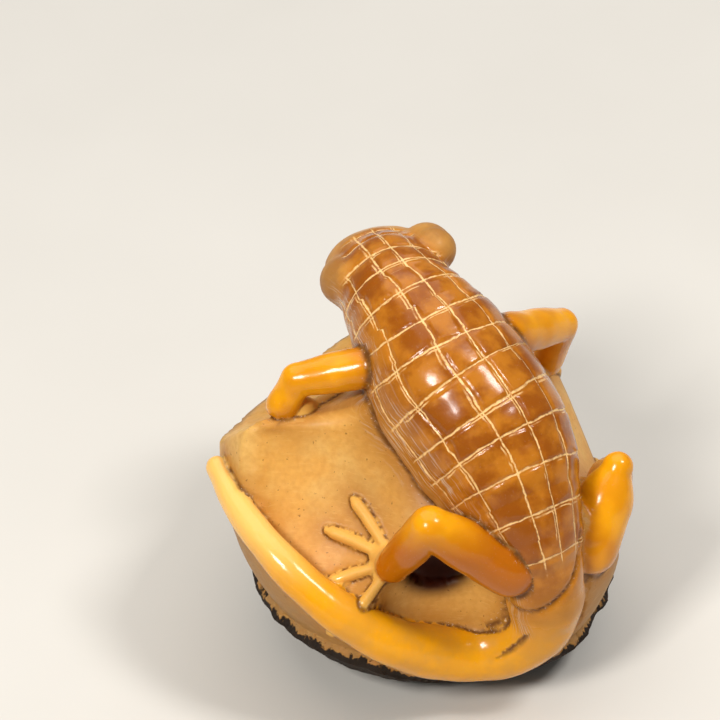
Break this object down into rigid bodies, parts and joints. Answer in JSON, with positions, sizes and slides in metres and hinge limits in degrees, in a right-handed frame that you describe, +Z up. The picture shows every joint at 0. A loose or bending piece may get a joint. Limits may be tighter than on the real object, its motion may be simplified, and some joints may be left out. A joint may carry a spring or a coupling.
{
  "type": "carved nut ornament",
  "caption": "Small palm-nut carving of a caiman lying over the nut, its back scored in scales and its tail curled round the rim; stands on its flat underside",
  "frame": {"origin": "centre of the bounding box in plan, on the flat underside that it stands on", "axes": "+Z up, +Y the way the caiman heads, +X to the caiman's right"},
  "size_m": [0.044, 0.0456, 0.0434],
  "materials": {
    "polished_tagua": "hand carved vegetable ivory, stained honey brown and polished, pale in the cut lines, with dark bark left on the underside"
  },
  "bodies": {
    "root": {"caiman_carving": "polished_tagua"}
  },
  "joints": []
}
